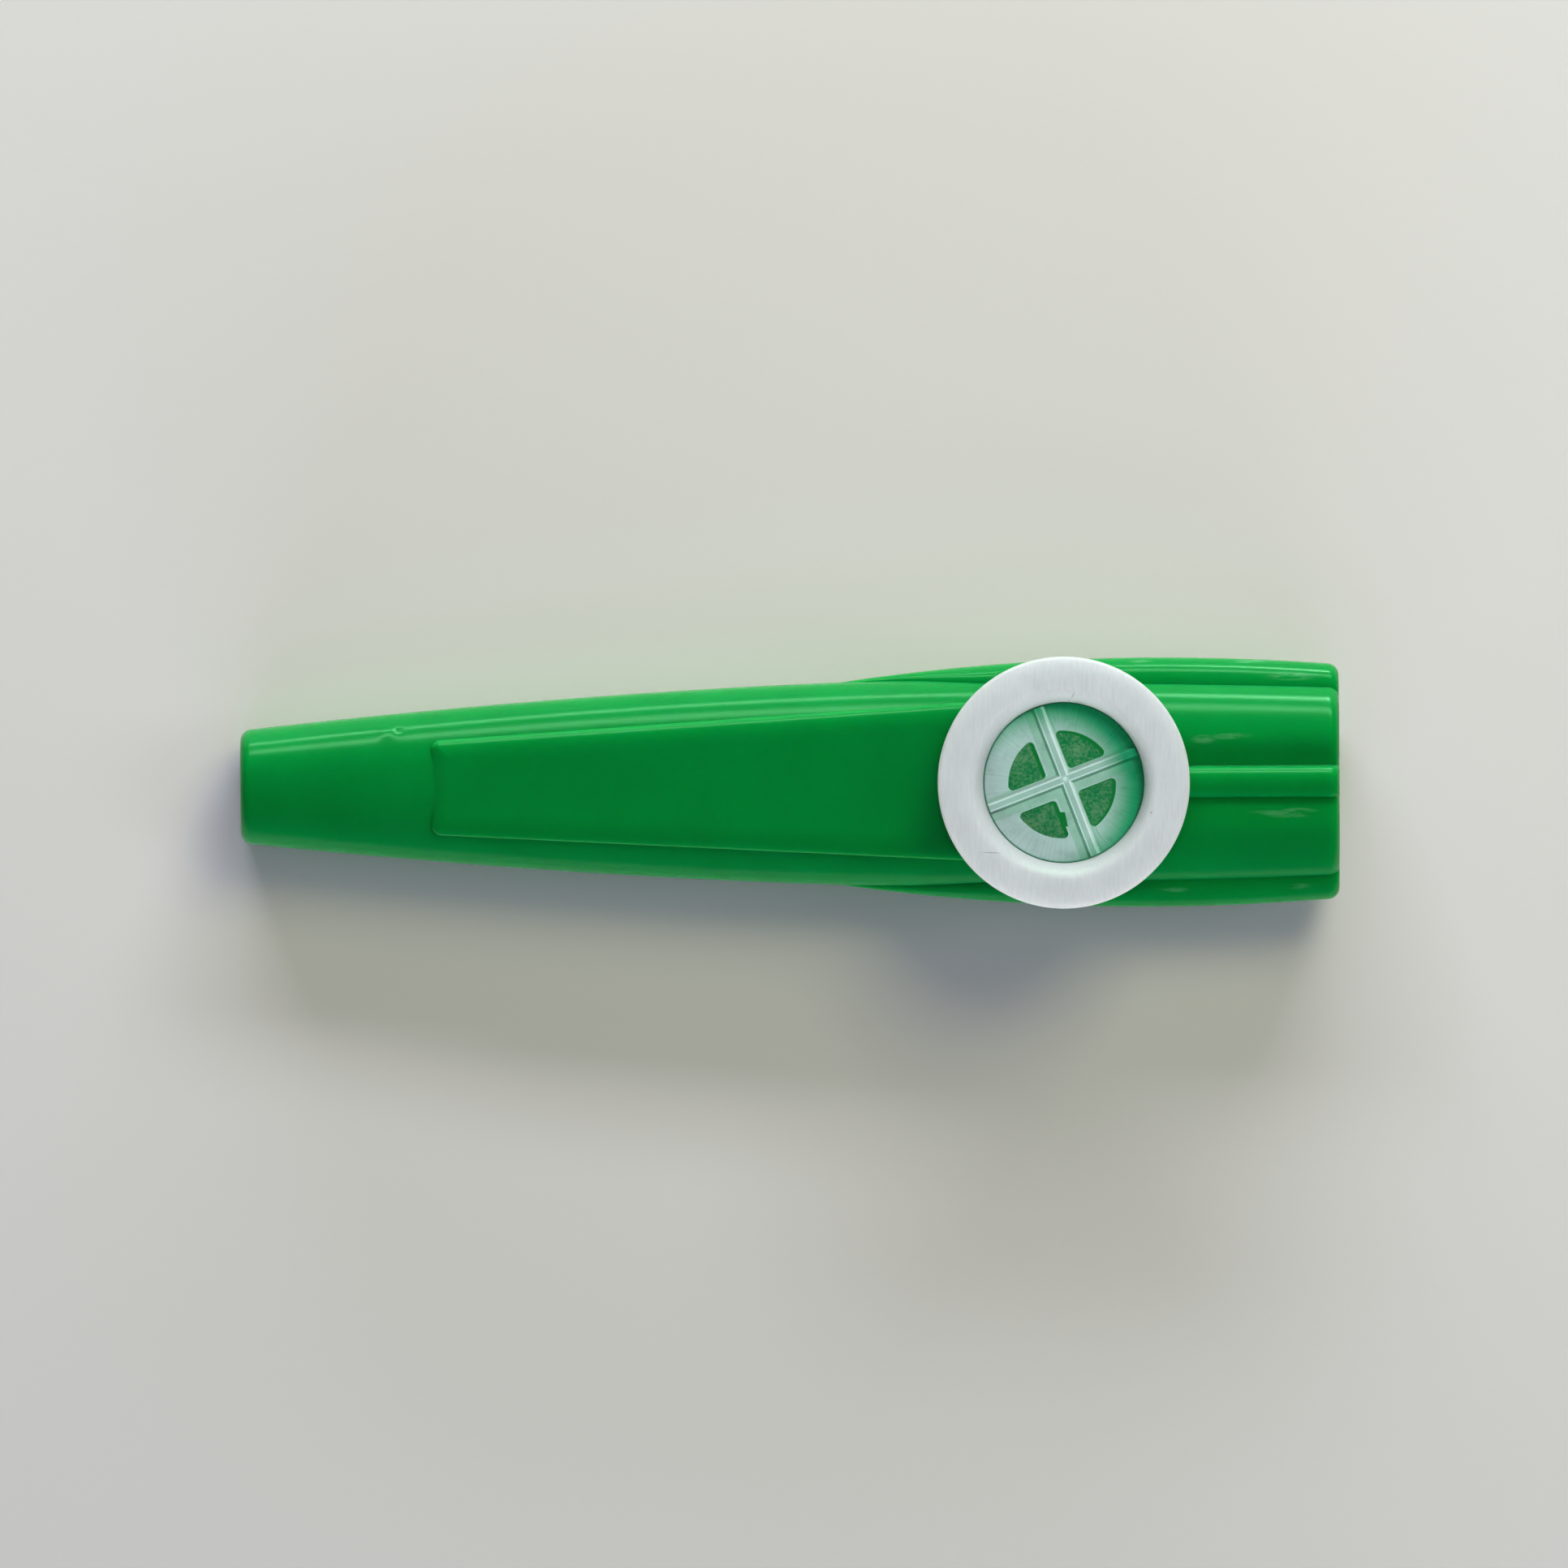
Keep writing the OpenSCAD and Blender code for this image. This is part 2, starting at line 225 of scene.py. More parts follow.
def arch_angles(x, w, arch, low):
    """Angles round the arch from crown to wing, closer together where the rib and its feet are."""
    if x < TURRET_X:
        return np.linspace(math.pi / 2, low, ARCH_STEPS + 1)
    near = np.concatenate([np.linspace(0, 1.2, 7), np.linspace(1.3, 2.3, 21), [2.5]])
    angles = np.arccos((near / w) ** (arch / 2))
    rest = np.linspace(angles[-1], low, ARCH_STEPS + 2 - len(angles))
    return np.concatenate([angles, rest[1:]])


def rib_height(x, y):
    """Height of the rib's skin over the ground, falling steeply beyond its sides."""
    top = BARREL_H - HOLLOW_D + RIB_H
    end = BODY_L - RIB_H
    if x > end:
        top -= RIB_H - math.sqrt(max(RIB_H**2 - (x - end) ** 2, 0))
    half = RIB_W / 2
    inside = np.clip(np.abs(y) / half, 0, 1)
    return top - RIB_H + RIB_H * np.sqrt(1 - inside**2) - RIB_DRAFT * np.maximum(np.abs(y) - half, 0)


def half_section(x, inset):
    """Half of the outer section at x, pulled in by inset all round, from crown to belly, as rows of y and z."""
    mid = top_at(x) * MID_SHARE
    arch = arch_power_at(x)
    up = top_at(x) - mid - inset
    down = mid + BELLY_CUT - inset
    w = barrel_w_at(x) / 2 - inset
    reach = wing_w_at(x) / 2 - inset
    grown = smooth((x - WING_START_X) / WING_EASE_L)
    t = (WING_START_T + (WING_T - WING_START_T) * grown) / 2 - inset * grown / 2
    up_a = math.asin((t / up) ** (arch / 2))
    down_a = math.asin((t / down) ** (BELLY_POWER / 2))
    up_w = w * math.cos(up_a) ** (2 / arch)
    down_w = w * math.cos(down_a) ** (2 / BELLY_POWER)

    a = arch_angles(x, w, arch, up_a)
    y = w * np.maximum(np.cos(a), 0) ** (2 / arch)
    sunk = HOLLOW_D * smooth((x - TURRET_X) / CAP_R) * np.maximum(1 - (2 * y / HOLLOW_W) ** 2, 0) ** 2
    z = mid + up * np.sin(a) ** (2 / arch) - sunk
    if x > TURRET_X:
        z = smooth_max(z, rib_height(x, y), RIB_FILLET)
    crown = np.column_stack([y, z])

    a = np.linspace(0, math.pi, 2 * WING_STEPS + 1)[1:-1]
    root = np.where(a < math.pi / 2, up_w, down_w)
    wing = np.column_stack([root + (reach - root) * np.sin(a), mid + t * np.cos(a)])

    a = np.linspace(down_a, math.pi / 2, BELLY_STEPS + 1)
    belly = np.column_stack([w * np.maximum(np.cos(a), 0) ** (2 / BELLY_POWER),
                             mid - down * np.sin(a) ** (2 / BELLY_POWER)])
    return np.concatenate([crown, wing, belly])


def whole_ring(x, half):
    """The half section at x and its mirror image, as one ring of points."""
    y = np.concatenate([half[:, 0], -half[-2:0:-1, 0]])
    z = np.concatenate([half[:, 1], half[-2:0:-1, 1]])
    return np.column_stack([np.full(len(y), x), y, z])


def new_object(name, points, faces):
    """A mesh object from points in millimetres, in the frame whose x starts at the narrow end."""
    co = np.array(points, float)
    co[:, 0] -= BODY_L / 2
    mesh = bpy.data.meshes.new(name)
    mesh.from_pydata((co * MM).tolist(), [], faces)
    shape = bmesh.new()
    shape.from_mesh(mesh)
    if shape.calc_volume(signed=True) < 0:
        bmesh.ops.reverse_faces(shape, faces=shape.faces)
    shape.to_mesh(mesh)
    shape.free()
    obj = bpy.data.objects.new(name, mesh)
    bpy.context.scene.collection.objects.link(obj)
    return obj


def skin(name, rings):
    """A closed skin over rings of equal length, with a flat face at each end."""
    n, count = len(rings[0]), len(rings)
    faces = [[k * n + i, k * n + (i + 1) % n, (k + 1) * n + (i + 1) % n, (k + 1) * n + i]
             for k in range(count - 1) for i in range(n)]
    faces.append(list(range(n))[::-1])
    faces.append([(count - 1) * n + i for i in range(n)])
    return new_object(name, np.concatenate(rings), faces)


def lathe(name, profile, centre_x=TURRET_X, closed=False):
    """A solid of revolution about the turret's axis. A closed profile makes a ring, and an open one starts
    and ends on the axis."""
    angles = 2 * math.pi * np.arange(LATHE_STEPS) / LATHE_STEPS
    rows = profile if closed else profile[1:-1]
    points = [[centre_x + r * math.cos(a), r * math.sin(a), z] for r, z in rows for a in angles]
    n, count = LATHE_STEPS, len(rows)
    faces = [[k * n + i, k * n + (i + 1) % n, ((k + 1) % count) * n + (i + 1) % n, ((k + 1) % count) * n + i]
             for k in range(count if closed else count - 1) for i in range(n)]
    if not closed:
        points += [[centre_x, 0, profile[0][1]], [centre_x, 0, profile[-1][1]]]
        faces += [[len(points) - 2, (i + 1) % n, i] for i in range(n)]
        faces += [[len(points) - 1, (count - 1) * n + i, (count - 1) * n + (i + 1) % n] for i in range(n)]
    return new_object(name, points, faces)


def arc(cx, cz, r, start, end, steps=6):
    """Points of an arc in a profile, from start to end in degrees, its ends included."""
    return [(cx + r * math.cos(math.radians(a)), cz + r * math.sin(math.radians(a)))
            for a in np.linspace(start, end, steps + 1)]


def combine(target, tool, operation):
    """Joins tool to target, or cuts it away, and removes the tool."""
    modifier = target.modifiers.new("combine", "BOOLEAN")
    modifier.operation = operation
    modifier.solver = "MANIFOLD"
    modifier.object = tool
    made = bpy.data.meshes.new_from_object(target.evaluated_get(bpy.context.evaluated_depsgraph_get()))
    target.modifiers.clear()
    target.data = made
    bpy.data.objects.remove(tool)


def smooth_shading(obj, angle=32):
    """Shades the mesh smooth, with sharp edges where it turns by more than the angle."""
    mesh = obj.data
    mesh.polygons.foreach_set("use_smooth", [True] * len(mesh.polygons))
    mesh.set_sharp_from_angle(angle=math.radians(angle))


def body_stations():
    """Places along the body as pairs of x and inset, closer together at the ends and at the blemish."""
    angles = [math.pi / 2 * k / END_STEPS for k in range(END_STEPS + 1)]
    start = [(END_R * (1 - math.cos(a)), END_R * (1 - math.sin(a))) for a in angles]
    end = [(BODY_L - d, inset) for d, inset in reversed(start)]
    inner = np.concatenate([
        np.arange(END_R + 0.8, PIT_X - 3, 1.0),
        np.arange(PIT_X - 3, PIT_X + 1.5, 0.12),
        np.arange(PIT_X + 1.5, WING_START_X, 1.0),
        np.arange(WING_START_X, BODY_L - END_R - 1.2, 0.6),
        [BODY_L - END_R - 0.8, BODY_L - END_R - 0.5, BODY_L - END_R - 0.2],
    ])
    return start + [(x, 0.0) for x in inner] + end


def add_blemish(points):
    """Presses the pit and its swell into the skin's points, along the radius of the section."""
    mid = top_at(PIT_X) * MID_SHARE
    w, arch = barrel_w_at(PIT_X) / 2, arch_power_at(PIT_X)
    z = mid + (top_at(PIT_X) - mid) * (1 - (PIT_Y / w) ** arch) ** (1 / arch)
    outward = np.array([0, PIT_Y / w**2, (z - mid) / (top_at(PIT_X) - mid) ** 2])
    outward /= np.linalg.norm(outward)
    pit = np.linalg.norm(points - [PIT_X, PIT_Y, z], axis=1)
    swell = np.linalg.norm(points - [PIT_X - SWELL_OFF, PIT_Y, z], axis=1)
    push = SWELL_H * np.exp(-((swell / SWELL_R) ** 2)) - PIT_D * np.exp(-((pit / PIT_R) ** 2))
    return points + push[:, None] * outward


def panel_outline(inset):
    """Plan outline of the panel, from its rounded start to the turret's axis, where the panel lies askew."""
    length = TURRET_X - PANEL_START_X
    start_y = barrel_w_at(PANEL_START_X) / 2 - PANEL_START_MARGIN
    end_y = barrel_w_at(TURRET_X) / 2 - PANEL_END_MARGIN
    spread = (end_y - start_y) / length
    r = max(PANEL_R - inset, 0.05)
    upper = []
    for a in np.radians(np.linspace(180, 90, 17)):
        x = inset + r + r * math.cos(a)
        upper.append((x, start_y - inset - r + r * math.sin(a) + x * spread))
    upper.append((length, end_y - inset))
    c, s = math.cos(math.radians(PANEL_TURN)), math.sin(math.radians(PANEL_TURN))
    return [(PANEL_START_X + c * x - s * y, PANEL_SHIFT_Y + s * x + c * y)
            for x, y in upper + [(x, -y) for x, y in reversed(upper)]]


def panel_solid():
    """The raised panel as a solid that reaches down into the barrel. Its edge is a quarter of an ellipse."""
    slope = math.atan((BARREL_H - NARROW_H) / TURRET_X)
    rings = []
    levels = [(-NARROW_H * MID_SHARE, 0.0)]
    for a in np.radians(np.linspace(0, 90, 19)):
        levels.append((PANEL_RISE - PANEL_EDGE_H * (1 - math.sin(a)), PANEL_EDGE_W * (1 - math.cos(a))))
    for z, inset in levels:
        rings.append(np.array([
            [x * math.cos(slope) - z * math.sin(slope), y, NARROW_H + x * math.sin(slope) + z * math.cos(slope)]
            for x, y in reversed(panel_outline(inset))]))
    return skin("panel_tool", rings)


def bore_ring(x, at, outset=0.0):
    """One ring of the air channel, with the section that the channel has at the place at."""
    w = min(barrel_w_at(at), MOUTH_W) / 2 - WALL + outset
    roof, floor = top_at(at) - ROOF_WALL + outset, WALL - outset
    mid, h, arch = (roof + floor) / 2, (roof - floor) / 2, arch_power_at(at)
    a = math.pi / 2 - 2 * math.pi * np.arange(BORE_STEPS) / BORE_STEPS
    return np.column_stack([np.full(BORE_STEPS, x), w * signed_power(np.cos(a), 2 / arch),
                            mid + h * signed_power(np.sin(a), 2 / arch)])


def bore_solid():
    """The air channel, with a small rounded lip at each end."""
    lips = [(BORE_LIP_R * (1 - math.cos(a)), BORE_LIP_R * (1 - math.sin(a)))
            for a in [math.pi / 2 * k / 4 for k in range(5)]]
    rings = [bore_ring(-1, 0, BORE_LIP_R)]
    rings += [bore_ring(d, 0, outset) for d, outset in lips]
    rings += [bore_ring(x, x) for x in np.linspace(2, BARREL_PEAK_X, 30)]
    rings += [bore_ring(BODY_L - d, BODY_L, outset) for d, outset in reversed(lips)]
    rings.append(bore_ring(BODY_L + 1, BODY_L, BORE_LIP_R))
    return skin("bore_tool", rings)


def box_solid(low, high):
    points = [[x, y, z] for x in (low[0], high[0]) for y in (low[1], high[1]) for z in (low[2], high[2])]
    return new_object("box_tool", points, [[0, 1, 3, 2], [4, 6, 7, 5], [0, 4, 5, 1], [2, 3, 7, 6],
                                           [0, 2, 6, 4], [1, 5, 7, 3]])


def build_body():
    """The green moulding: barrel, wings, panel, rib and turret, hollowed by the channel and the well."""
    points = np.concatenate([whole_ring(x, half_section(x, inset)) for x, inset in body_stations()])
    points = add_blemish(points)
    n = 2 * len(half_section(0, END_R)) - 2
    body = skin("kazoo_shell", list(points.reshape(-1, n, 3)))
    combine(body, panel_solid(), "UNION")
    low = BARREL_H * MID_SHARE
    boss = [(0, low), (BOSS_R, low)] + arc(BOSS_R - RIM_EDGE_R, RIM_Z - RIM_EDGE_R, RIM_EDGE_R, 0, 90) + [(0, RIM_Z)]
    combine(body, lathe("boss_tool", boss), "UNION")
    combine(body, bore_solid(), "DIFFERENCE")
    well = [(0, BARREL_H / 2), (WELL_R, BARREL_H / 2)]
    well += arc(WELL_R + 0.2, SEAT_Z - 0.2, 0.2, 180, 90, 4)
    well += [(SEAT_R, SEAT_Z)] + arc(SEAT_R + 0.2, RIM_Z - 0.2, 0.2, 180, 90, 4)
    well += [(SEAT_R + 0.2, RIM_Z + 1), (0, RIM_Z + 1)]
    combine(body, lathe("well_tool", well), "DIFFERENCE")
    combine(body, box_solid((-1, -WING_W, -BARREL_H), (BODY_L + 1, WING_W, 0)), "DIFFERENCE")
    smooth_shading(body)
    return body


def build_cap():
    """The white ring: a crowned top that rolls down into the hole, and a skirt round the turret."""
    roll = [(CAP_CREST_R - (CAP_CREST_R - CAP_HOLE_R) * math.cos(a),
             CAP_LIP_Z + (CAP_CREST_Z - CAP_LIP_Z) * math.sin(a)) for a in np.radians(np.linspace(0, 90, 21))]
    edge_r = CAP_R - CAP_EDGE_R
    crown = [(CAP_CREST_R + (edge_r - CAP_CREST_R) * t, CAP_CREST_Z - CAP_DROP * t * t)
             for t in np.linspace(0.06, 0.94, 15)]
    edge = arc(edge_r, CAP_CREST_Z - CAP_DROP - CAP_EDGE_R, CAP_EDGE_R, 90, 0, 9)
    r = CAP_LOW_EDGE_R
    low = arc(CAP_R - r, CAP_SKIRT_Z + r, r, 0, -90, 4) + arc(CAP_SKIRT_R + r, CAP_SKIRT_Z + r, r, -90, -180, 4)
    inside = [(CAP_SKIRT_R, CAP_FLANGE_Z), (CAP_LIP_R, CAP_FLANGE_Z), (CAP_LIP_R, CAP_LIP_Z)]
    lip = [(CAP_HOLE_R + 0.1, CAP_LIP_Z)]
    profile = roll + crown + edge + low + inside + lip
    cap = lathe("cap_ring", profile[::-1], closed=True)
    smooth_shading(cap, 40)
    return cap


def window_outline(grow):
    """Plan outline of one window, in the guard's own turn, grown outward by grow."""
    c = WEB_W / 2 + WINDOW_CORNER_R
    far = math.sqrt((WINDOW_R - WINDOW_CORNER_R) ** 2 - c * c)
    start = math.degrees(math.atan2(c, far))
    r, big = WINDOW_CORNER_R + grow, WINDOW_R + grow
    corners = [(far, c, r, -90, start), (0, 0, big, start, 90 - start), (c, far, r, 90 - start, 180),
               (c, c, r, 180, 270)]
    outline = []
    for cx, cy, radius, low, high in corners:
        steps = 24 if radius == big else 8
        outline += [(cx + radius * math.cos(math.radians(a)), cy + radius * math.sin(math.radians(a)))
                    for a in np.linspace(low, high, steps + 1)[:-1]]
    return outline


def turned(outline, degrees, shift=(0.0, 0.0)):
    """Points of an outline turned about the turret's axis, as x, y pairs from the narrow end."""
    c, s = math.cos(math.radians(degrees)), math.sin(math.radians(degrees))
    return [(TURRET_X + shift[0] + c * x - s * y, shift[1] + s * x + c * y) for x, y in outline]


def window_solid(degrees):
    """The tool that cuts one window, flared at the guard's top so that the edge is rounded."""
    top = GUARD_Z + GUARD_T
    levels = [(GUARD_Z - 1, 0.0), (GUARD_Z, 0.0)]
    levels += [(top - WINDOW_EDGE_R * (1 - math.sin(a)), WINDOW_EDGE_R * (1 - math.cos(a)))
               for a in np.radians(np.linspace(0, 75, 4))]
    levels.append((top + 0.3, WINDOW_EDGE_R))
    return skin("window_tool", [np.array([[x, y, z] for x, y in turned(window_outline(grow), degrees, WINDOW_SHIFT)])
                                for z, grow in levels])


def nick_solid():
    plan = [(TURRET_X + x, y) for x, y in NICK]
    return skin("nick_tool", [np.array([[x, y, z] for x, y in plan]) for z in (GUARD_Z - 1, GUARD_Z + GUARD_T + 1)])


def drop_solid(x, y, length, width, height, degrees):
    """A flat ellipsoid that lies on the guard's top."""
    c, s = math.cos(math.radians(degrees)), math.sin(math.radians(degrees))
    rings = []
    for a in np.radians(np.linspace(3, 177, 13)):
        along, part = -length / 2 * math.cos(a), math.sin(a)
        ring = [(along, width / 2 * part * math.cos(b), height * part * math.sin(b))
                for b in 2 * math.pi * np.arange(16) / 16]
        rings.append(np.array([[TURRET_X + x + c * u - s * v, y + s * u + c * v, GUARD_Z + GUARD_T + w]
                               for u, v, w in ring]))
    return skin("drop_tool", rings)


def bar_solid(degrees, length):
    """A cross bar with a trapezoid section, rounded along its top edges."""
    lean = math.atan2((BAR_FOOT_W - BAR_TOP_W) / 2, BAR_H)
    r = BAR_EDGE_R
    half_top = BAR_TOP_W / 2
    offset = r * math.tan((math.pi / 2 - lean) / 2)
    cx, cz = half_top - offset, BAR_H - r
    round_edge = [(cx + r * math.cos(a), cz + r * math.sin(a)) for a in np.linspace(lean, math.pi / 2, 5)]
    side = [(BAR_FOOT_W / 2, -GUARD_T / 2), (BAR_FOOT_W / 2, 0.0)] + round_edge
    section = side + [(-y, z) for y, z in reversed(side)]
    rings = []
    for along in (-length, length):
        plan = turned([(along, y) for y, z in section], degrees, BAR_SHIFT)
        rings.append(np.array([[p[0], p[1], GUARD_Z + GUARD_T + z] for p, (y, z) in zip(plan, section)]))
    return skin("bar_tool", rings)


def build_guard():
    """The see-through disc with four windows and a cross of bars."""
    r, top = GUARD_EDGE_R, GUARD_Z + GUARD_T
    disc = [(0, GUARD_Z)] + arc(RESONATOR_R - r, GUARD_Z + r, r, -90, 0, 4)
    disc += arc(RESONATOR_R - r, top - r, r, 0, 90, 4) + [(0, top)]
    guard = lathe("guard_disc", disc)
    for k in range(4):
        combine(guard, window_solid(RESONATOR_TURN + 90 * k), "DIFFERENCE")
    bars = bar_solid(RESONATOR_TURN, BAR_R + 1)
    combine(bars, bar_solid(RESONATOR_TURN + 90, BAR_R + 1), "UNION")
    limit = lathe("limit_tool", [(0, top - GUARD_T / 2), (BAR_R, top - GUARD_T / 2), (BAR_R, top + BAR_H + 1),
                                 (0, top + BAR_H + 1)])
    combine(bars, limit, "INTERSECT")
    combine(guard, nick_solid(), "DIFFERENCE")
    combine(guard, bars, "UNION")
    for drop in FLASH:
        combine(guard, drop_solid(*drop), "UNION")
    smooth_shading(guard, 35)
    return guard


def build_membrane():
    """The thin film that is glued under the guard."""
    z = SEAT_Z
    film = lathe("membrane_disc", [(0, z), (RESONATOR_R, z), (RESONATOR_R, z + MEMBRANE_T), (0, z + MEMBRANE_T)])
    smooth_shading(film, 35)
    return film


def new_material(name):
    material = bpy.data.materials.new(name)
    material.use_nodes = True
    tree = material.node_tree
    tree.nodes.clear()
    out = tree.nodes.new("ShaderNodeOutputMaterial")
    shader = tree.nodes.new("ShaderNodeBsdfPrincipled")
    tree.links.new(shader.outputs[0], out.inputs[0])
    return material, tree, shader


def place(tree, scale):
    """Object coordinates stretched by scale, so that a pattern's size is set in the object's own metres."""
    coords = tree.nodes.new("ShaderNodeTexCoord")
    mapping = tree.nodes.new("ShaderNodeMapping")
    mapping.inputs["Scale"].default_value = scale
    tree.links.new(coords.outputs["Object"], mapping.inputs["Vector"])
    return mapping


def place_about_turret(tree, degrees):
    """Object coordinates moved to the turret's axis and turned about it."""
    mapping = place(tree, (1, 1, 1))
    mapping.vector_type = "TEXTURE"
    mapping.inputs["Location"].default_value = ((TURRET_X - BODY_L / 2) * MM, 0, 0)
    mapping.inputs["Rotation"].default_value = (0, 0, math.radians(degrees))
    return mapping


def math_node(tree, operation, first, second=None):
    """A math node over sockets or numbers."""
    node = tree.nodes.new("ShaderNodeMath")
    node.operation = operation
    for socket, value in zip(node.inputs, (first, second)):
        if isinstance(value, bpy.types.NodeSocket):
            tree.links.new(value, socket)
        elif value is not None:
            socket.default_value = value
    return node.outputs[0]


def step(tree, value, low, high):
    """0 below low and 1 above high, with a soft step between them."""
    node = tree.nodes.new("ShaderNodeMapRange")
    node.interpolation_type = "SMOOTHSTEP"
    node.inputs["From Min"].default_value = low
    node.inputs["From Max"].default_value = high
    tree.links.new(value, node.inputs["Value"])
    return node.outputs[0]


def blend(tree, amount, first, second):
    """The colour first where amount is 0, and second where it is 1."""
    node = tree.nodes.new("ShaderNodeMix")
    node.data_type = "RGBA"
    tree.links.new(amount, node.inputs["Factor"])
    for socket, value in zip((node.inputs[6], node.inputs[7]), (first, second)):
        if isinstance(value, bpy.types.NodeSocket):
            tree.links.new(value, socket)
        else:
            socket.default_value = tuple(value) + (1,)
    return node.outputs[2]


def noise(tree, vector, scale, detail=3.0, roughness=0.5):
    node = tree.nodes.new("ShaderNodeTexNoise")
    node.inputs["Scale"].default_value = scale
    node.inputs["Detail"].default_value = detail
    node.inputs["Roughness"].default_value = roughness
    tree.links.new(vector.outputs[0], node.inputs["Vector"])
    return node.outputs[0]


def around(tree, x, y, scale):
    """Noise that changes only with the bearing about the axis."""
    node = tree.nodes.new("ShaderNodeTexNoise")
    node.noise_dimensions = "1D"
    node.inputs["Scale"].default_value = scale
    node.inputs["Detail"].default_value = 3
    tree.links.new(math_node(tree, "ARCTAN2", y, x), node.inputs["W"])
    return node.outputs[0]


def split(tree, vector):
    """The x, y and z of a vector."""
    node = tree.nodes.new("ShaderNodeSeparateXYZ")
    tree.links.new(vector, node.inputs[0])
    return node.outputs


def inverse(tree, value):
    return math_node(tree, "SUBTRACT", 1.0, value)


def in_guard_turn(shift):
    """A shift in plan, as x and y in the guard's own turn."""
    c, s = math.cos(math.radians(RESONATOR_TURN)), math.sin(math.radians(RESONATOR_TURN))
    return shift[0] * c + shift[1] * s, shift[1] * c - shift[0] * s


def off_cross(tree, x, y, middle=(0, 0)):
    """Distance in plan from the nearer line of a cross whose middle is given in millimetres."""
    return math_node(tree, "MINIMUM", *[
        math_node(tree, "ABSOLUTE", math_node(tree, "SUBTRACT", socket, value * MM))
        for socket, value in zip((x, y), middle)])


def distance(tree, x, y, middle=(0, 0)):
    """Distance in plan from a point that is given in millimetres."""
    squares = [math_node(tree, "POWER", math_node(tree, "SUBTRACT", socket, value * MM), 2.0)
               for socket, value in zip((x, y), middle)]
    return math_node(tree, "SQRT", math_node(tree, "ADD", *squares))


def ramp(tree, value, stops):
    """A colour ramp over value, with stops as position and colour, or position and grey."""
    node = tree.nodes.new("ShaderNodeValToRGB")
    elements = node.color_ramp.elements
    while len(elements) < len(stops):
        elements.new(0.5)
    for element, (position, colour) in zip(elements, stops):
        element.position = position
        element.color = (colour,) * 3 + (1,) if isinstance(colour, float) else tuple(colour) + (1,)
    tree.links.new(value, node.inputs[0])
    return node.outputs[0]


def at_pixel(x, y):
    """The place on the object, in metres, that the camera shows at a pixel of the photograph."""
    right = (x - PHOTO_SIDE / 2) * MM_PER_PIXEL
    up = (PHOTO_SIDE / 2 - y) * MM_PER_PIXEL
    c, s = math.cos(math.radians(CAMERA_ROLL)), math.sin(math.radians(CAMERA_ROLL))
    middle = (PHOTO_SIDE / 2 - NARROW_END_PIXEL) * MM_PER_PIXEL - BODY_L / 2
    return (middle + right * c - up * s) * MM, (right * s + up * c) * MM


def marks(tree, rows):
    """1 in the middle of each mark and 0 outside it, on faces that look up."""
    amount = None
    for x, y, length, width, degrees in rows:
        spot = place(tree, (length / 2 * MM, width / 2 * MM, 1))
        spot.vector_type = "TEXTURE"
        spot.inputs["Location"].default_value = at_pixel(x, y) + (0,)
        spot.inputs["Rotation"].default_value = (0, 0, math.radians(degrees))
        along, across, _ = split(tree, spot.outputs[0])
        off = math_node(tree, "MULTIPLY_ADD", along, along)
        tree.links.new(math_node(tree, "MULTIPLY", across, across), off.node.inputs[2])
        inside = inverse(tree, step(tree, off, 0.0, 1.0))
        amount = inside if amount is None else math_node(tree, "MAXIMUM", amount, inside)
    facing = tree.nodes.new("ShaderNodeNewGeometry")
    return math_node(tree, "MULTIPLY", amount, step(tree, split(tree, facing.outputs["Normal"])[2], 0.0, 0.3))


def bump(tree, height, depth, strength):
    node = tree.nodes.new("ShaderNodeBump")
    node.inputs["Distance"].default_value = depth
    node.inputs["Strength"].default_value = strength
    tree.links.new(height, node.inputs["Height"])
    return node.outputs[0]


def green_plastic():
    """Glossy green moulded plastic with a little light inside it, and a few pale streaks that are partly dusty
    smears and partly painted reflections.
    """
    material, tree, shader = new_material("green_plastic")
    even = place(tree, (1, 1, 1))
    cloud = noise(tree, even, 140, 4)
    clean = ramp(tree, cloud, [(0.3, (0.0003, 0.205, 0.035)), (0.7, (0.0003, 0.225, 0.04))])
    streaks = place(tree, (0.16, 1, 1))
    # Pale streaks broken up by noise: partly dusty smears, partly painted reflection streaks
    streak_breakup = step(tree, noise(tree, streaks, 2600, 3, 0.6), 0.34, 0.64)
    streaked = math_node(tree, "MULTIPLY", marks(tree, SMEARS_AND_REFLECTIONS), streak_breakup)
    tree.links.new(blend(tree, math_node(tree, "MULTIPLY", streaked, 0.55), clean, (0.08, 0.32, 0.16)),
                   shader.inputs["Base Color"])
    grain = noise(tree, even, 2400, 2)
    tree.links.new(ramp(tree, grain, [(0.3, 0.18), (0.75, 0.21)]), shader.inputs["Roughness"])
    tree.links.new(bump(tree, grain, 0.000001, 0.4), shader.inputs["Normal"])
    shader.inputs["IOR"].default_value = 1.5
    shader.inputs["Specular IOR Level"].default_value = 0.2
    shader.inputs["Subsurface Weight"].default_value = 1.0
    shader.inputs["Subsurface Radius"].default_value = (0.1, 1.0, 0.3)
    shader.inputs["Subsurface Scale"].default_value = 0.002
    return material


